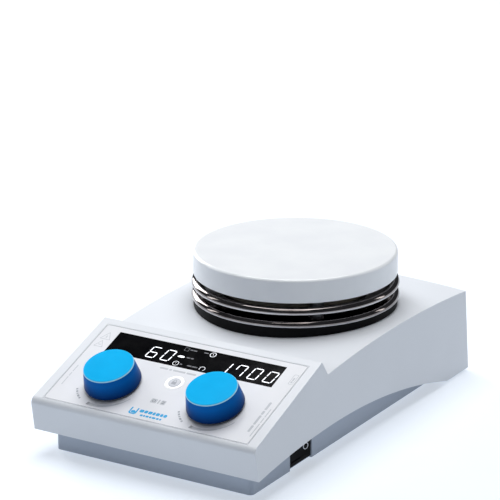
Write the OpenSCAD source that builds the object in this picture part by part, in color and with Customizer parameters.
// Hotplate magnetic stirrer: cast housing with a sloping control console, round coated hot plate
// on two polished heat shields, and a motor-driven magnet underneath.
// Millimetres. +Z up, front of the console towards -Y, origin at the middle of the footprint on the table.

/* [Body] */
// Overall width, measured where the side walls reach the foot
body_w = 191; // [170:1:230]
// Overall length, front of the console to the rear wall
body_l = 326; // [300:1:395]
// Thickness of the cast housing walls
wall = 3; // [2:0.1:4]
// Inward lean of the side walls, degrees
side_draft = 1.8; // [0:0.1:3]
// Height of the roof's crown above the table
roof_top = 71.4; // [66:0.1:90]
// Radius of the arched roof, seen from the side
roof_r = 1060; // [800:10:2000]
// Plan radius of the bowed rear wall
rear_r = 385; // [300:5:900]
// Lean of the rear wall, degrees
rear_lean = 3; // [0:0.5:5]
// Height of the rubber feet
foot_h = 2.5; // [2:0.1:6]

/* [Console] */
// Height of the console's front edge, before it is rounded
front_h = 43.5; // [40:0.5:55]
// Undercut of the front face, degrees
front_lean = 10; // [0:1:14]
// Radius along the console's front edge
front_round = 5; // [2:0.5:7]
// Slope of the console's top, degrees
panel_angle = 20.2; // [16:0.1:24]
// Length of the console's top up the slope
panel_l = 98.5; // [96:0.5:112]
// Lean of the console's back face, degrees from upright
back_lean = 35; // [10:1:40]
// Height of the arched lower edge of the side walls, at its highest
arch_z = 26.9; // [22:0.1:32]
// Radius of the arched lower edge towards the front
arch_front_r = 720; // [600:10:1200]
// Radius of the arched lower edge towards the rear
arch_rear_r = 590; // [500:10:900]

/* [Control panel] */
// Width of the printed overlay
overlay_w = 172.2; // [160:0.1:176]
// Length of the overlay up the slope
overlay_l = 87.7; // [86:0.1:90]
// Thickness of the overlay
overlay_t = 0.5; // [0.3:0.1:0.8]
// Width of the display window
window_w = 142.4; // [120:0.1:150]
// Length of the display window up the slope
window_l = 23; // [18:0.1:24]
// Distance of each knob from the middle of the console
knob_x = 43.5; // [36:0.5:50]
// Base diameter of the knobs
knob_d = 42; // [34:1:46]
// Top diameter of the knobs
knob_top_d = 36.8; // [30:0.1:42]
// Height of the knobs
knob_h = 16; // [14:0.5:24]
// Diameter of the encoder shafts
shaft_d = 6; // [5:0.5:6]
// Push travel of the knobs
push_travel = 0.5; // [0.3:0.1:0.7]
// Diameter of the button in the middle
button_d = 9.2; // [8:0.1:12]
// Outer diameter of the light ring around the button
ring_d = 14.4; // [13.4:0.1:18]

/* [Hot plate] */
// Diameter of the hot plate
plate_d = 155; // [125:1:170]
// Height of the plate's edge
plate_h = 18; // [16:0.5:22]
// Thickness of the plate's disc
disc_t = 8; // [6:0.5:9]
// Height of the plate's top above the table
plate_top = 114; // [112:0.5:135]
// How far the heat shields stand out beyond the plate
shield_lip = 1.5; // [1:0.1:4]
// Depth of the turned-down rim of each shield
shield_rim = 5.8; // [4:0.1:8]
// Sheet thickness of the shields
shield_t = 0.8; // [0.6:0.1:1.2]
// Air gap between the plate's edge and the upper shield
shield_gap = 3.6; // [3:0.1:5]
// Step from one shield to the next
shield_pitch = 9.9; // [9:0.1:12]
// How far the black seat ring stays back from the shields' rims
seat_inset = 1.5; // [1:0.1:6]
// Distance of the clamping posts from the plate's edge
post_inset = 13.5; // [12:0.5:18]

/* [Drive] */
// Outer diameter of the motor
motor_d = 60; // [50:1:64]
// Length of the motor
motor_h = 28; // [24:1:30]
// Diameter of the motor shaft
motor_shaft_d = 6; // [5:0.5:8]
// Diameter of the magnet carrier
carrier_d = 72; // [60:1:78]
// Diameter of each drive magnet
magnet_d = 18; // [12:1:20]

/* [Base and sockets] */
// Width of the recessed base pan
pan_w = 166.4; // [150:0.2:200]
// Thickness of the base pan
pan_t = 2.5; // [2:0.1:3.5]
// Set-back of the pan from the console's front edge
pan_setback = 14; // [10:0.5:24]
// Corner radius of the base pan
pan_corner = 3.5; // [3.5:0.5:14]
// Length of the power switch along the body
switch_l = 29.4; // [26:0.1:32]
// Height of the power switch
switch_h = 21; // [18:0.5:21]
// Swing of the rocker, degrees
rocker_swing = 14; // [8:1:16]
// Bore of the threaded support rod socket
rod_bore_d = 8.5; // [6.8:0.1:10.2]
// Depth of the threaded support rod socket
rod_depth = 20; // [14:1:24]
// Bore of the temperature probe socket
probe_bore_d = 13; // [10:0.5:16]

/* [Hidden] */

eps = 0.01;
big = 500;
fit = 0.3;          // gap between loose static pieces
running = 0.05;     // radial gap of a shaft in its bearing
seat = 0.02;        // radial gap of a piece held tight in its seat
side_faces = [-1, 1];

// Console geometry in the side view, as [y, z].
corner_angle = 90 + panel_angle - front_lean;
bisector = (panel_angle - (90 - front_lean)) / 2;
corner_reach = front_round / sin(corner_angle / 2);
front_y = -body_l / 2 - corner_reach * cos(bisector) + front_round;
rear_y = body_l / 2;
panel_back_y = front_y + panel_l * cos(panel_angle);
panel_back_z = front_h + panel_l * sin(panel_angle);
plate_y = rear_y - 115;
crown_y = plate_y - 6;
arch_y = plate_y - 100;
overlay_s = 4.3;    // front margin of the overlay

function half_width(z) = body_w / 2 - (z - foot_h) * tan(side_draft);
function roof_z(y) = roof_top - roof_r + sqrt(roof_r * roof_r - (y - crown_y) * (y - crown_y));
function panel_z(y) = front_h + (y - front_y) * tan(panel_angle);
function panel_point(s, h) = [front_y + (overlay_s + s) * cos(panel_angle) - h * sin(panel_angle),
    front_h + (overlay_s + s) * sin(panel_angle) + h * cos(panel_angle)];
function front_face_y(z, t) = front_y + (front_h - z) * tan(front_lean) + t / cos(front_lean);
function back_face_y(z, t) = panel_back_y + (panel_back_z - z) * tan(back_lean) - t / cos(back_lean);
function inset_corner(t) =
    let(z = (front_h - t / cos(panel_angle) + tan(panel_angle)
        * (front_h * tan(front_lean) + t / cos(front_lean)))
        / (1 + tan(panel_angle) * tan(front_lean)))
    [front_face_y(z, t), z];
function inset_back(t) =
    let(run = tan(panel_angle),
        fall = tan(back_lean),
        z = (panel_back_z + run * fall * panel_back_z - t / cos(panel_angle) - run * t / cos(back_lean))
            / (1 + run * fall))
    [back_face_y(z, t), z];

// Places children on the console: x across, s up the slope from the overlay's edge, h outwards.
module on_panel(x = 0, s = 0, h = 0) {
    translate([x, front_y, front_h])
        rotate([panel_angle, 0, 0])
            translate([0, overlay_s + s, h])
                children();
}

// Extrudes a [y, z] outline across the whole width.
module across(width) {
    rotate([90, 0, 90])
        linear_extrude(height = width, center = true)
            children();
}

module box_from(low, high) {
    translate(low) cube(high - low);
}

module tube(outer_r, inner_r, height) {
    difference() {
        cylinder(r = outer_r, h = height, $fn = 96);
        translate([0, 0, -1]) cylinder(r = inner_r, h = height + 2, $fn = 96);
    }
}

// Flat bar with round ends along X, centred.
module slot(length, width, height) {
    span = length - width;
    translate([-span / 2, -width / 2, 0]) cube([span, width, height]);
    for (side = side_faces)
        translate([side * span / 2, 0, 0]) cylinder(d = width, h = height, $fn = 32);
}

// Pan-head screw pointing down from z = 0: the head stands above.
module screw(shank_d, length, head_d, head_h) {
    difference() {
        union() {
            translate([0, 0, -length]) cylinder(d = shank_d, h = length, $fn = 32);
            cylinder(d = head_d, h = head_h, $fn = 48);
        }
        translate([0, 0, head_h * 0.4]) cylinder(d = head_d * 0.5, h = head_h, $fn = 6);
    }
}

module on_plate_axis(z = 0) {
    translate([0, plate_y, z]) children();
}

module around_plate(radius, count = 4, phase = 45) {
    for (k = [0 : count - 1])
        on_plate_axis()
            rotate(phase + k * 360 / count)
                translate([radius, 0, 0])
                    children();
}

// ---- Housing ----

pan_top = arch_z + 3.1;

module front_outline(t) {
    sharp = inset_corner(t);
    back = inset_back(t);
    lean_dir = 180 + front_lean;
    rounded = t == 0;
    centre = [front_y + corner_reach * cos(bisector), front_h + corner_reach * sin(bisector)];
    corner = rounded
        ? [for (k = [0 : 6])
            let(a = lean_dir - k * (lean_dir - 90 - panel_angle) / 6)
            centre + front_round * [cos(a), sin(a)]]
        : [sharp];
    polygon(concat(
        [[front_face_y(0, t), 0]],
        corner,
        [back, [back_face_y(foot_h + 10, t), foot_h + 10], [back_face_y(foot_h + 10, t), 0]]));
}

module roof_outline(t) {
    intersection() {
        translate([panel_back_y - 22, 0]) square([body_l, roof_top + 1]);
        translate([crown_y, roof_top - roof_r]) circle(r = roof_r - t, $fn = 256);
    }
}

module housing_block(t) {
    intersection() {
        across(body_w + 20) union() {
            front_outline(t);
            roof_outline(t);
        }
        rotate([90, 0, 0])
            linear_extrude(height = body_l * 2, center = true)
                polygon([for (p = [[-1, 0], [1, 0], [1, 120], [-1, 120]])
                    [p[0] * (half_width(p[1]) - t / cos(side_draft)), p[1]]]);
        translate([0, rear_y - rear_r, foot_h])
            rotate([rear_lean, 0, 0])
                cylinder(r = rear_r - t, h = 600, center = true, $fn = 256);
    }
}

// Everything under the arched lower edge.
module under_arch() {
    across(body_w + 40) union() {
        intersection() {
            translate([arch_y, arch_z - arch_front_r]) circle(r = arch_front_r, $fn = 256);
            translate([-big, -big]) square([big + arch_y, 2 * big]);
        }
        intersection() {
            translate([arch_y, arch_z - arch_rear_r]) circle(r = arch_rear_r, $fn = 256);
            translate([arch_y, -big]) square([big, 2 * big]);
        }
        translate([-big, -big]) square([2 * big, big + foot_h]);
    }
}

// Bosses that run from the roof down to the pan.
boss_x = pan_w / 2 - pan_t - 5.6;
boss_front_y = front_y + 36;
boss_rear_y = rear_y - 40;
boss_d = 9;
boss_low = foot_h + pan_t;
fixing_points = [for (y = [boss_front_y, boss_rear_y], side = side_faces) [side * boss_x, y]];

post_boss_low = roof_z(rear_y - 30) - 6;
bracket_z = roof_z(rear_y - 30) - 5;
roof_hole_r = carrier_d / 2 + 5;
bracket_r = roof_hole_r + 9;

rod_pos = [-62, rear_y - 24];
rod_socket_r = 8;
rod_low = roof_z(rod_pos[1]) - rod_depth - 3;

pocket_y = rear_y - 10;
pocket_half = 46;
pocket_low = foot_h + pan_t + wall + fit;
pocket_high = foot_h + 53;

inlet_x = -18;
inlet_z = foot_h + 30;
inlet_w = 28;
inlet_tall = 38;
inlet_deep = 25;
inlet_flange = 2;
probe_x = 26;
probe_z = foot_h + 31;
probe_r = probe_bore_d / 2 + 3;

board_h = -13;      // top of the display board below the console's face
board_t = 1.6;
board_w = 140;
board_s0 = 8;
board_s1 = overlay_l - 3;
board_posts = [for (s = [board_s0 + 5, board_s1 - 3], side = side_faces) [side * (board_w / 2 - 4), s]];

knob_s = 29;
button_s = 43.1;
window_s0 = overlay_l - 5.5 - window_l;
bush_r = shaft_d / 2 + 1.2;
window_t = 2;
ledge = 2.2;

module upper_housing() {
    color("whitesmoke") difference() {
        union() {
            difference() {
                housing_block(0);
                housing_block(wall);
            }
            intersection() {
                housing_block(wall / 2);
                union() {
                    for (p = fixing_points)
                        translate([p[0], p[1], boss_low]) cylinder(d = boss_d, h = 100, $fn = 48);
                    around_plate(post_r)
                        translate([0, 0, post_boss_low]) cylinder(r = 7, h = 40, $fn = 48);
                    around_plate(bracket_r, 4, 0)
                        translate([0, 0, bracket_z]) cylinder(r = 4.5, h = 40, $fn = 48);
                    translate([rod_pos[0], rod_pos[1], rod_low - 3]) cylinder(r = 11, h = 60, $fn = 64);
                    box_from([-pocket_half - 3, pocket_y - wall, pocket_low - 3],
                        [pocket_half + 3, rear_y + 10, pocket_high + 3]);
                    for (p = board_posts)
                        on_panel(p[0], p[1], board_h) cylinder(r = 3, h = -board_h, $fn = 32);
                }
            }
        }
        under_arch();
        // pocket with the sockets at the back
        box_from([-pocket_half, pocket_y, pocket_low], [pocket_half, rear_y + 10, pocket_high]);
        // roof opening and screw holes
        on_plate_axis(20) cylinder(r = roof_hole_r, h = 80, $fn = 128);
        around_plate(post_r) translate([0, 0, 20]) cylinder(r = 2.3, h = 80, $fn = 32);
        around_plate(bracket_r, 4, 0) translate([0, 0, bracket_z - 1]) cylinder(r = 1.5, h = 7, $fn = 32);
        for (p = fixing_points)
            translate([p[0], p[1], boss_low - 1]) cylinder(r = 1.7, h = 15, $fn = 32);
        for (side = side_faces) translate([side * lead_gap, lead_y, 20]) cylinder(r = 3, h = 80, $fn = 32);
        // socket for the support rod
        translate([rod_pos[0], rod_pos[1], rod_low]) cylinder(r = rod_socket_r + seat, h = 80, $fn = 96);
        // console: overlay recess, window, button, encoder bushes and board screws
        on_panel(0, 0, -overlay_t)
            translate([-overlay_w / 2 - fit, -fit, 0]) cube([overlay_w + 2 * fit, overlay_l + 2 * fit, 5]);
        on_panel(0, window_s0, -window_t)
            translate([-window_w / 2 - 0.1, -0.1, 0]) cube([window_w + 0.2, window_l + 0.2, 5]);
        on_panel(0, window_s0, -8)
            translate([-window_w / 2 + ledge, ledge, 0])
                cube([window_w - 2 * ledge, window_l - 2 * ledge, 10]);
        on_panel(0, button_s, -8) cylinder(r = ring_d / 2 + 0.15, h = 12, $fn = 96);
        for (side = side_faces)
            on_panel(side * knob_x, knob_s, -8) cylinder(r = bush_r + 0.2, h = 12, $fn = 64);
        for (p = board_posts) on_panel(p[0], p[1], board_h - 1) cylinder(r = 1.1, h = 8, $fn = 24);
        // inlet and probe socket
        box_from([inlet_x - inlet_w / 2 - fit, pocket_y - 10, inlet_z - inlet_tall / 2 - fit],
            [inlet_x + inlet_w / 2 + fit, rear_y, inlet_z + inlet_tall / 2 + fit]);
        translate([probe_x, pocket_y - 10, probe_z])
            rotate([-90, 0, 0]) cylinder(r = probe_r + 0.1, h = 30, $fn = 96);
        for (side = side_faces)
            translate([inlet_x + side * (inlet_w / 2 + 4.5), pocket_y - 10, inlet_z])
                rotate([-90, 0, 0]) cylinder(r = 1.2, h = 30, $fn = 24);
    }
}

// ---- Base pan ----

pan_front = front_y + pan_setback;
pan_wall_end = arch_y + sqrt(pow(arch_rear_r, 2) - pow(arch_rear_r - arch_z + foot_h, 2)) - 1;
switch_y = front_y + 80;
switch_low = foot_h + 1.6;
pocket_depth = 2.2;
bezel_t = 1.4;
foot_x = pan_w / 2 - 22;
foot_ys = [pan_front + 18, rear_y - 26];
foot_d = 14;
stub_d = 6;
housing_fit = wall + 0.4;

module pan_outline(inset) {
    r = pan_corner - inset;
    x = pan_w / 2 - pan_corner;
    y0 = pan_front + pan_corner;
    union() {
        translate([-x, y0 - r]) square([2 * x, pan_wall_end - y0 + r]);
        translate([-x - r, y0]) square([2 * (x + r), pan_wall_end - y0]);
        for (side = side_faces) translate([side * x, y0]) circle(r = r, $fn = 64);
    }
}

module base_pan() {
    color("slategray") difference() {
        union() {
            // floor, bowed at the rear like the housing
            intersection() {
                union() {
                    translate([0, 0, foot_h]) linear_extrude(height = pan_t) pan_outline(0);
                    box_from([-body_w, pan_wall_end, foot_h], [body_w, rear_y, foot_h + pan_t]);
                }
                housing_block(housing_fit);
            }
            // walls, with a flange and end walls that close the recess beside the pan
            difference() {
                intersection() {
                    union() {
                        translate([0, 0, foot_h + eps])
                            linear_extrude(height = pan_top - foot_h - eps) pan_outline(0);
                        box_from([-body_w, front_y, pan_top - 2], [body_w, pan_wall_end, pan_top]);
                        box_from([-body_w, pan_wall_end - pan_t, foot_h + eps],
                            [body_w, pan_wall_end, pan_top]);
                    }
                    housing_block(housing_fit);
                }
                linear_extrude(height = pan_top + 1) union() {
                    pan_outline(pan_t);
                    translate([-pan_w / 2 + pan_t, pan_wall_end - 60]) square([pan_w - 2 * pan_t, 80]);
                }
            }
            // thicker wall behind the switch
            box_from([pan_w / 2 - 4.5, switch_y - switch_l / 2 - 3, foot_h + eps],
                [pan_w / 2 - 1, switch_y + switch_l / 2 + 3, pan_top]);
        }
        // pocket and hole of the power switch
        box_from([pan_w / 2 - pocket_depth, switch_y - switch_l / 2 - fit, foot_h - 1],
            [pan_w / 2 + 5, switch_y + switch_l / 2 + fit, switch_low + switch_h + fit]);
        box_from([pan_w / 2 - 12, switch_y - switch_l / 2 + 1.2, switch_low + 1.2],
            [pan_w / 2 + 1, switch_y + switch_l / 2 - 1.2, switch_low + switch_h - 1.2]);
        // screws, feet and vents
        for (p = fixing_points) {
            translate([p[0], p[1], 0]) cylinder(r = 2.1, h = 20, $fn = 32);
            translate([p[0], p[1], foot_h - 1]) cylinder(r = 4, h = 2.4, $fn = 48);
        }
        for (side = side_faces, y = foot_ys)
            translate([side * foot_x, y, 0]) cylinder(d = stub_d + 0.1, h = 20, $fn = 48);
        for (row = [0 : 8], side = side_faces)
            translate([side * 26, plate_y - 36 + row * 9, foot_h - 1]) slot(38, 3, pan_t + 2);
        for (p = power_posts)
            translate([p[0], p[1], foot_h + pan_t - 1.5]) cylinder(r = 1.1, h = 20, $fn = 24);
    }
}

module rubber_feet() {
    color("dimgray") for (side = side_faces, y = foot_ys)
        translate([side * foot_x, y, 0]) {
            cylinder(d = foot_d, h = foot_h, $fn = 64);
            cylinder(d = stub_d, h = foot_h + pan_t + 1.5, $fn = 48);
            translate([0, 0, foot_h + pan_t]) cylinder(d = stub_d + 2, h = 1.5, $fn = 48);
        }
}

module housing_screws() {
    color("silver") for (p = fixing_points)
        translate([p[0], p[1], foot_h + 1.4])
            mirror([0, 0, 1]) difference() {
                union() {
                    translate([0, 0, -12]) cylinder(r = 1.65, h = 12, $fn = 32);
                    cylinder(r = 3.6, h = 1.2, $fn = 48);
                }
                translate([0, 0, 0.5]) cylinder(r = 1.8, h = 3, $fn = 6);
            }
}

// ---- Console parts ----

knob_gap = push_travel + fit;
hub_r = 6;
bore_low = knob_gap + 3;
shaft_top = knob_gap + knob_h - 4.5;
shaft_low = board_h + 2.5;

module panel_overlay() {
    color("white") on_panel(0, 0, -overlay_t) difference() {
        translate([-overlay_w / 2, 0, 0]) cube([overlay_w, overlay_l, overlay_t]);
        translate([-window_w / 2 - 0.1, window_s0 - 0.1, -1]) cube([window_w + 0.2, window_l + 0.2, 5]);
        translate([0, button_s, -1]) cylinder(r = ring_d / 2 + 0.15, h = 5, $fn = 96);
        for (side = side_faces)
            translate([side * knob_x, knob_s, -1]) cylinder(r = bush_r + 0.2, h = 5, $fn = 64);
    }
}

module display_window() {
    color("black") on_panel(0, window_s0, -window_t)
        translate([-window_w / 2, 0, 0]) cube([window_w, window_l, window_t]);
}

module display_board() {
    color("darkgreen") on_panel(0, 0, board_h - board_t) difference() {
        translate([-board_w / 2, board_s0, 0]) cube([board_w, board_s1 - board_s0, board_t]);
        for (p = board_posts) translate([p[0], p[1], -1]) cylinder(r = 1.4, h = 5, $fn = 24);
    }
}

module digit_modules() {
    module_h = -board_h - window_t - 0.2;
    color("dimgray") for (span = [[-48, -12], [22, 66]])
        on_panel(0, window_s0, board_h)
            translate([span[0], ledge + 1.3, 0])
                cube([span[1] - span[0], window_l - 2 * ledge - 2.6, module_h]);
}

module board_screws() {
    color("silver") for (p = board_posts)
        on_panel(p[0], p[1], board_h - board_t) mirror([0, 0, 1]) screw(2.1, 6, 4.4, 1.6);
}

module knob(x) {
    color("dodgerblue") on_panel(x, knob_s, knob_gap) difference() {
        cylinder(d1 = knob_d, d2 = knob_top_d, h = knob_h, $fn = 128);
        translate([0, 0, -1]) difference() {
            cylinder(d1 = knob_d - 5, d2 = knob_top_d - 4.4, h = knob_h - 2, $fn = 128);
            translate([0, 0, 4]) cylinder(r = hub_r, h = knob_h, $fn = 64);
        }
        translate([0, 0, -1]) cylinder(r = shaft_d / 2 + seat, h = shaft_top - knob_gap + 1.2, $fn = 64);
    }
}

module heat_knob() { knob(-knob_x); }
module speed_knob() { knob(knob_x); }

module encoder_shaft(x) {
    color("silver") on_panel(x, knob_s, shaft_low)
        cylinder(d = shaft_d, h = shaft_top - shaft_low, $fn = 64);
}

module heat_encoder_shaft() { encoder_shaft(-knob_x); }
module speed_encoder_shaft() { encoder_shaft(knob_x); }

// Encoder body on the display board, with its threaded bush through the console.
module encoder(x) {
    color("gray") on_panel(x, knob_s, board_h) difference() {
        union() {
            translate([-7, -7, 0]) cube([14, 14, -board_h - 5]);
            cylinder(r = bush_r, h = -board_h + 2.4, $fn = 64);
        }
        translate([0, 0, -1]) cylinder(r = shaft_d / 2 + running, h = -board_h + 6, $fn = 64);
    }
}

module heat_encoder() { encoder(-knob_x); }
module speed_encoder() { encoder(knob_x); }

module push_plunger(x) {
    color("ivory") on_panel(x, knob_s, board_h + push_travel + 0.2)
        cylinder(d = shaft_d - 1, h = 2.25 - push_travel, $fn = 48);
}

module heat_push_plunger() { push_plunger(-knob_x); }
module speed_push_plunger() { push_plunger(knob_x); }

module encoder_nuts() {
    color("silver") for (side = side_faces) on_panel(side * knob_x, knob_s, 0) difference() {
        cylinder(r = bush_r + 1.9, h = 2, $fn = 6);
        translate([0, 0, -1]) cylinder(r = bush_r + seat, h = 5, $fn = 64);
    }
}

module lock_button() {
    color("lightgray") on_panel(0, button_s, 0) {
        translate([0, 0, -4]) cylinder(d = button_d, h = 4.3, $fn = 96);
        translate([0, 0, -8.2]) cylinder(r = 2, h = 4.5, $fn = 32);
    }
}

module light_ring() {
    color("white") on_panel(0, button_s, -6) {
        tube(ring_d / 2, button_d / 2 + 0.25, 6.2);
        difference() {
            cylinder(r = ring_d / 2 + 2, h = 6 - wall, $fn = 96);
            translate([0, 0, -1]) cylinder(r = ring_d / 2 - 0.5, h = 10, $fn = 96);
        }
    }
}

module button_switch() {
    color("darkgray") on_panel(0, button_s, board_h) {
        translate([-3, -3, 0]) cube([6, 6, 3.4]);
        cylinder(r = 1.6, h = 4.15, $fn = 32);
    }
}

// ---- Hot plate stack ----

plate_low = plate_top - plate_h;
disc_low = plate_top - disc_t;
shield_d = plate_d + 2 * shield_lip;
seat_d = shield_d - 2 * seat_inset;
post_r = plate_d / 2 - post_inset;
boss_z = plate_low + 1;
upper_shield_z = plate_low - shield_gap;
lower_shield_z = upper_shield_z - shield_pitch;
shield_hole_r = roof_hole_r + 1;
shield_bend = 2.5;
lead_gap = 8.5;
heater_r = post_r - 8;
lead_y = plate_y + heater_r + 6;
clamp_z = plate_low - 0.5;
core_r = 9;

module hot_plate() {
    color("white") on_plate_axis() difference() {
        union() {
            translate([0, 0, plate_low]) cylinder(d = plate_d, h = plate_h - 1.5, $fn = 180);
            translate([0, 0, plate_top - 1.5])
                cylinder(d1 = plate_d, d2 = plate_d - 3, h = 1.5, $fn = 180);
        }
        translate([0, 0, plate_low - 1]) difference() {
            cylinder(d = plate_d - 6, h = plate_h - disc_t + 1, $fn = 180);
            translate([0, 0, 2]) cylinder(r = core_r, h = plate_h, $fn = 64);
            for (k = [0 : 3]) rotate(45 + 90 * k)
                translate([post_r, 0, 2]) cylinder(r = 6, h = plate_h, $fn = 48);
        }
        translate([0, 0, plate_low - 1]) cylinder(r = 1.7, h = 10, $fn = 32);
        for (k = [0 : 3]) rotate(45 + 90 * k)
            translate([post_r, 0, plate_low - 1]) cylinder(r = 1.7, h = 10, $fn = 32);
    }
}

module heating_element() {
    color("darkkhaki") on_plate_axis(disc_low - 3) {
        tube(heater_r, core_r + 1, 3);
        for (side = side_faces) translate([side * lead_gap, 0, 0]) intersection() {
            translate([-3, heater_r - 8, 0]) cube([6, 17, 3]);
            cylinder(r = plate_d / 2 - 4, h = 10, $fn = 96);
        }
    }
}

module insulation_disc() {
    color("beige") on_plate_axis(clamp_z + 2)
        tube(heater_r - 1, core_r + 1, disc_low - 3 - clamp_z - 2);
}

module clamp_plate() {
    color("silver") on_plate_axis(clamp_z) difference() {
        cylinder(r = heater_r, h = 2, $fn = 128);
        translate([0, 0, -1]) cylinder(r = 2.2, h = 5, $fn = 32);
        translate([0, 0, 1.5]) cylinder(r = core_r + 0.5, h = 5, $fn = 64);
    }
}

module clamp_screw() {
    color("gray") on_plate_axis(clamp_z) mirror([0, 0, 1]) screw(3.3, 9, 9, 2.2);
}

module plate_sensor() {
    color("goldenrod") on_plate_axis() translate([-(heater_r + 9), 0, disc_low - 7])
        cylinder(r = 3, h = 7, $fn = 48);
}

module heater_leads() {
    color("ivory") for (side = side_faces)
        translate([side * lead_gap, lead_y, power_z + board_t])
            cylinder(r = 1.6, h = disc_low - 3 - power_z - board_t, $fn = 32);
}

// Sheet annulus with a rounded shoulder and a turned-down rim, top face at z = 0.
module shield(z) {
    r = shield_d / 2;
    bend = shield_bend;
    steps = 6;
    outer = [for (k = [0 : steps]) let(a = 90 - k * 90 / steps)
        [r - bend + bend * cos(a), -bend + bend * sin(a)]];
    inner = [for (k = [0 : steps]) let(a = k * 90 / steps)
        [r - bend + (bend - shield_t) * cos(a), -bend + (bend - shield_t) * sin(a)]];
    on_plate_axis(z) difference() {
        rotate_extrude($fn = 180) polygon(concat(
            [[shield_hole_r, 0]], outer, [[r, -shield_rim], [r - shield_t, -shield_rim]], inner,
            [[shield_hole_r, -shield_t]]));
        for (k = [0 : 3]) rotate(45 + 90 * k)
            translate([post_r, 0, -5]) cylinder(r = 2.2, h = 10, $fn = 32);
        for (side = side_faces) translate([side * lead_gap, lead_y - plate_y, -5])
            cylinder(r = 3, h = 10, $fn = 32);
    }
}

module upper_shield() { color("silver") shield(upper_shield_z); }
module lower_shield() { color("silver") shield(lower_shield_z); }

module spacers(low, high) {
    color("gray") around_plate(post_r) translate([0, 0, low]) tube(5.6, 2.3, high - low);
}

module upper_spacers() { spacers(upper_shield_z, boss_z); }
module lower_spacers() { spacers(lower_shield_z, upper_shield_z - shield_t); }

module seat_ring() {
    low = roof_top - 12;
    top = lower_shield_z - shield_t;
    shoulder = lower_shield_z - shield_bend - fit;
    color("black") difference() {
        union() {
            on_plate_axis(low) tube(seat_d / 2, shield_hole_r, shoulder - low);
            on_plate_axis(low) tube(shield_d / 2 - shield_bend - fit, shield_hole_r, top - low);
        }
        across(body_w + 10)
            translate([crown_y, roof_top - roof_r]) circle(r = roof_r + seat, $fn = 256);
        around_plate(post_r) translate([0, 0, 20]) cylinder(r = 2.3, h = 90, $fn = 32);
        for (side = side_faces) translate([side * lead_gap, lead_y, 20]) cylinder(r = 3, h = 90, $fn = 32);
    }
}

module post_screws() {
    color("silver") around_plate(post_r) translate([0, 0, post_boss_low])
        mirror([0, 0, 1]) screw(3.3, boss_z + 8 - post_boss_low, 7, 2.4);
}

// ---- Motor and magnets ----

motor_top = bracket_z - 2;
motor_low = motor_top - motor_h;
bearing_r = 8;
bearing_h = 4;
rotor_r = 15;
carrier_z = lower_shield_z - 2;
magnet_h = 7;

module motor_bracket() {
    color("silver") on_plate_axis(motor_top) difference() {
        union() {
            cylinder(r = 36, h = 2, $fn = 128);
            for (k = [0 : 3]) rotate(90 * k) {
                translate([0, -6, 0]) cube([bracket_r, 12, 2]);
                translate([bracket_r, 0, 0]) cylinder(r = 6, h = 2, $fn = 48);
            }
        }
        translate([0, 0, -1]) cylinder(r = bearing_r + 3, h = 5, $fn = 64);
        for (k = [0 : 3]) rotate(90 * k) {
            translate([bracket_r, 0, -1]) cylinder(r = 1.8, h = 5, $fn = 32);
            translate([20, 0, -1]) cylinder(r = 1.8, h = 5, $fn = 32);
        }
    }
}

module bracket_screws() {
    color("silver") around_plate(bracket_r, 4, 0)
        translate([0, 0, motor_top]) mirror([0, 0, 1]) screw(2.9, 7, 5.6, 2);
}

module motor_can() {
    inner = motor_d / 2 - 2;
    color("gray") on_plate_axis(motor_low) difference() {
        cylinder(d = motor_d, h = motor_h, $fn = 128);
        translate([0, 0, -1]) cylinder(r = inner, h = motor_h - bearing_h - 1, $fn = 128);
        translate([0, 0, motor_h - bearing_h - 3])
            cylinder(r = bearing_r + seat, h = bearing_h + 2, $fn = 96);
        cylinder(r = motor_shaft_d / 2 + 1.5, h = motor_h + 1, $fn = 64);
        for (k = [0 : 3]) rotate(90 * k)
            translate([20, 0, motor_h - 4]) cylinder(r = 1.5, h = 5, $fn = 32);
    }
}

module motor_screws() {
    color("silver") around_plate(20, 4, 0) translate([0, 0, motor_top + 2]) screw(2.9, 5, 5.6, 2);
}

module motor_end_cap() {
    color("dimgray") on_plate_axis(motor_low - 4) difference() {
        union() {
            cylinder(d = motor_d, h = 4 - eps, $fn = 128);
            translate([0, 0, 3]) cylinder(r = motor_d / 2 - 2 - 0.05, h = 3, $fn = 128);
        }
        translate([0, 0, 2]) cylinder(r = bearing_r + seat, h = 10, $fn = 96);
        translate([0, 0, -1]) cylinder(r = motor_shaft_d / 2 + 1.5, h = 10, $fn = 64);
    }
}

module motor_windings() {
    color("peru") on_plate_axis(motor_low + 3)
        tube(motor_d / 2 - 2 - 0.05, rotor_r + 0.6, motor_h - bearing_h - 8);
}

module motor_bearings() {
    color("silver") for (z = [motor_low - 2, motor_top - bearing_h - 1])
        on_plate_axis(z) tube(bearing_r, motor_shaft_d / 2 + running, bearing_h);
}

module motor_rotor() {
    color("darkgray") on_plate_axis() {
        translate([0, 0, motor_low - 3])
            cylinder(d = motor_shaft_d, h = carrier_z + 4 - motor_low + 3, $fn = 64);
        translate([0, 0, motor_low + 4]) cylinder(r = rotor_r, h = motor_h - bearing_h - 10, $fn = 96);
    }
}

module magnet_carrier() {
    color("lightgray") on_plate_axis(carrier_z) difference() {
        union() {
            cylinder(d = carrier_d, h = 4, $fn = 128);
            translate([0, 0, -5]) cylinder(r = 8, h = 9, $fn = 64);
        }
        translate([0, 0, -6]) cylinder(d = motor_shaft_d + 2 * seat, h = 20, $fn = 64);
        for (k = [0 : 1]) rotate(180 * k) translate([carrier_d / 2 - magnet_d / 2 - 2, 0, 1])
            cylinder(d = magnet_d + 2 * seat, h = 10, $fn = 64);
    }
}

module drive_magnets() {
    color("dimgray") for (k = [0 : 1]) on_plate_axis(carrier_z + 1) rotate(180 * k)
        translate([carrier_d / 2 - magnet_d / 2 - 2, 0, 0]) cylinder(d = magnet_d, h = magnet_h, $fn = 64);
}

// ---- Power supply board ----

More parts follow.
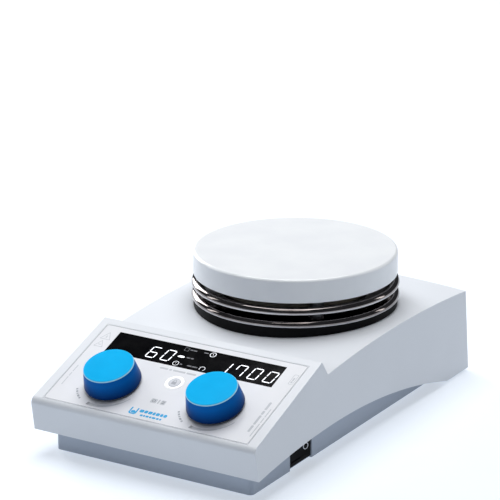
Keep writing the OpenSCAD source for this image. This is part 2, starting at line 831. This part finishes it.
power_z = foot_h + pan_t + 5;
power_y0 = plate_y + motor_d / 2 + 6;
power_y1 = pocket_y - wall - inlet_deep + 12;
power_half = 54;
power_posts = [for (y = [power_y0 + 4, power_y1 - 4], side = side_faces) [side * (power_half - 4), y]];

module power_board() {
    color("darkgreen") difference() {
        union() {
            box_from([-power_half, power_y0, power_z], [power_half, power_y1, power_z + board_t]);
            for (p = power_posts)
                translate([p[0], p[1], foot_h + pan_t])
                    cylinder(r = 3, h = power_z - foot_h - pan_t + eps, $fn = 32);
        }
        for (p = power_posts) translate([p[0], p[1], 0]) cylinder(r = 1.3, h = 40, $fn = 24);
    }
}

module power_board_screws() {
    color("silver") for (p = power_posts)
        translate([p[0], p[1], power_z + board_t]) screw(2, 7, 4.4, 1.6);
}

module power_components() {
    top = power_z + board_t;
    depth = power_y1 - power_y0;
    color("darkorange") box_from([14, power_y0 + 2, top], [46, power_y0 + depth - 5, top + 26]);
    color("darkslateblue") for (k = [0 : 2])
        translate([-20 - k * 10, power_y0 + 10, top]) cylinder(r = 4, h = 14, $fn = 48);
    color("silver") for (k = [0 : 4])
        box_from([-52 + k * 4, power_y0 + 24, top], [-50.6 + k * 4, power_y0 + 31, top + 18]);
}

// ---- Power switch ----

switch_z = switch_low + switch_h / 2;
switch_face_x = pan_w / 2 - pocket_depth + bezel_t;
rocker_l = switch_l - 5;
rocker_tall = switch_h - 6;
pivot_x = switch_face_x - 3.5;
pin_r = 1.5;

module switch_frame() {
    color("black") difference() {
        union() {
            box_from([switch_face_x - bezel_t, switch_y - switch_l / 2, switch_low],
                [switch_face_x, switch_y + switch_l / 2, switch_low + switch_h]);
            box_from([switch_face_x - 18, switch_y - switch_l / 2 + 1.4, switch_low + 1.4],
                [switch_face_x - 0.5, switch_y + switch_l / 2 - 1.4, switch_low + switch_h - 1.4]);
        }
        box_from([switch_face_x - 12, switch_y - rocker_l / 2 - 0.35, switch_z - rocker_tall / 2 - 0.3],
            [switch_face_x + 1, switch_y + rocker_l / 2 + 0.35, switch_z + rocker_tall / 2 + 0.3]);
        translate([pivot_x, switch_y, switch_z - rocker_tall / 2 - 1])
            cylinder(r = pin_r + running, h = rocker_tall + 2, $fn = 48);
    }
}

// Two shallow faces that meet at the pivot: the front face is pressed in.
module switch_rocker() {
    half = rocker_l / 2;
    rise = half * tan(rocker_swing / 2);
    crest = 3.1;
    color("black") translate([pivot_x, switch_y, switch_z - rocker_tall / 2])
        rotate(-rocker_swing / 2) {
            intersection() {
                linear_extrude(height = rocker_tall) polygon([[-6, -4], [-3, -half], [crest + rise, -half],
                    [crest, 0], [crest + rise, half], [-3, half], [-6, 4]]);
                translate([0, 0, -1]) cylinder(r = half, h = rocker_tall + 2, $fn = 96);
            }
            translate([0, 0, -0.8]) cylinder(r = pin_r, h = rocker_tall + 1.6, $fn = 48);
        }
}

// ---- Sockets at the back ----

cavity_w = 24;
cavity_tall = 16;
cavity_deep = 15.5;
cavity_z = inlet_z + 8;
drawer_w = 22;
drawer_tall = 9;
drawer_deep = 20;
drawer_z = inlet_z - 10.5;
inlet_face = pocket_y + inlet_flange;
fuse_r = 2.6;

module power_inlet() {
    color("black") difference() {
        union() {
            box_from([inlet_x - inlet_w / 2 - 8, pocket_y, inlet_z - inlet_tall / 2 - 2],
                [inlet_x + inlet_w / 2 + 8, inlet_face, inlet_z + inlet_tall / 2 + 2]);
            box_from([inlet_x - inlet_w / 2, pocket_y - inlet_deep, inlet_z - inlet_tall / 2],
                [inlet_x + inlet_w / 2, pocket_y + 1, inlet_z + inlet_tall / 2]);
        }
        box_from([inlet_x - cavity_w / 2, inlet_face - cavity_deep, cavity_z - cavity_tall / 2],
            [inlet_x + cavity_w / 2, inlet_face + 1, cavity_z + cavity_tall / 2]);
        box_from([inlet_x - drawer_w / 2 - 0.2, inlet_face - drawer_deep - fit,
                drawer_z - drawer_tall / 2 - 0.2],
            [inlet_x + drawer_w / 2 + 0.2, inlet_face + 1, drawer_z + drawer_tall / 2 + 0.2]);
        for (side = side_faces)
            translate([inlet_x + side * (inlet_w / 2 + 4.5), pocket_y - 1, inlet_z])
                rotate([-90, 0, 0]) cylinder(r = 1.7, h = 10, $fn = 32);
        for (p = pin_places)
            box_from([inlet_x + p[0] - 2.05, pocket_y - inlet_deep - 1, cavity_z + p[1] - 1.05],
                [inlet_x + p[0] + 2.05, pocket_y, cavity_z + p[1] + 1.05]);
    }
}

pin_places = [[-7, -2], [7, -2], [0, 2]];

module inlet_pins() {
    color("goldenrod") for (p = pin_places)
        box_from([inlet_x + p[0] - 2, pocket_y - inlet_deep - 6, cavity_z + p[1] - 1],
            [inlet_x + p[0] + 2, inlet_face - 1.5, cavity_z + p[1] + 1]);
}

module inlet_screws() {
    color("silver") for (side = side_faces)
        translate([inlet_x + side * (inlet_w / 2 + 4.5), inlet_face, inlet_z])
            rotate([-90, 0, 0]) screw(2.3, 7, 4.6, 1.6);
}

module fuse_drawer() {
    color("dimgray") difference() {
        union() {
            box_from([inlet_x - drawer_w / 2, inlet_face - drawer_deep, drawer_z - drawer_tall / 2],
                [inlet_x + drawer_w / 2, inlet_face + 1.2, drawer_z + drawer_tall / 2]);
            box_from([inlet_x - 5, inlet_face - 1, drawer_z + drawer_tall / 2 - 2],
                [inlet_x + 5, inlet_face + 2.4, drawer_z + drawer_tall / 2]);
        }
        for (side = side_faces)
            translate([inlet_x + side * 5.2, inlet_face - drawer_deep - 1, drawer_z])
                rotate([-90, 0, 0]) cylinder(r = fuse_r + 0.1, h = drawer_deep - 1, $fn = 48);
    }
}

module fuses() {
    color("lightcyan") for (side = side_faces)
        translate([inlet_x + side * 5.2, inlet_face - drawer_deep + 0.2, drawer_z])
            rotate([-90, 0, 0]) cylinder(r = fuse_r, h = drawer_deep - 3, $fn = 48);
}

module probe_socket() {
    color("silver") translate([probe_x, pocket_y, probe_z]) rotate([-90, 0, 0]) difference() {
        union() {
            cylinder(r = probe_r + 3, h = 2, $fn = 96);
            translate([0, 0, -14]) cylinder(r = probe_r, h = 15, $fn = 96);
        }
        translate([0, 0, -8]) cylinder(d = probe_bore_d, h = 20, $fn = 96);
        for (a = [-90, -45, 0, 45, 90]) rotate(a - 90)
            translate([probe_bore_d / 4, 0, -12]) cylinder(r = 0.8, h = 20, $fn = 24);
    }
}

module probe_nut() {
    color("gray") translate([probe_x, pocket_y - wall - 3, probe_z]) rotate([-90, 0, 0]) difference() {
        cylinder(r = probe_r + 4, h = 3, $fn = 6);
        translate([0, 0, -1]) cylinder(r = probe_r + seat, h = 10, $fn = 96);
    }
}

module rod_socket() {
    top = roof_z(rod_pos[1]) + 1.2;
    color("silver") translate([rod_pos[0], rod_pos[1], rod_low]) difference() {
        cylinder(r = rod_socket_r, h = top - rod_low, $fn = 96);
        translate([0, 0, top - rod_low - rod_depth]) cylinder(d = rod_bore_d, h = rod_depth + 1, $fn = 64);
    }
}

upper_housing();
base_pan();
panel_overlay();
display_window();
display_board();
digit_modules();
board_screws();
heat_knob();
speed_knob();
heat_encoder_shaft();
speed_encoder_shaft();
heat_encoder();
speed_encoder();
heat_push_plunger();
speed_push_plunger();
encoder_nuts();
lock_button();
light_ring();
button_switch();
hot_plate();
heating_element();
insulation_disc();
clamp_plate();
clamp_screw();
plate_sensor();
heater_leads();
upper_shield();
lower_shield();
upper_spacers();
lower_spacers();
seat_ring();
post_screws();
motor_can();
motor_end_cap();
motor_windings();
motor_rotor();
motor_bearings();
motor_bracket();
bracket_screws();
motor_screws();
magnet_carrier();
drive_magnets();
power_board();
power_components();
power_board_screws();
switch_frame();
switch_rocker();
power_inlet();
inlet_pins();
inlet_screws();
fuse_drawer();
fuses();
probe_socket();
probe_nut();
rod_socket();
rubber_feet();
housing_screws();
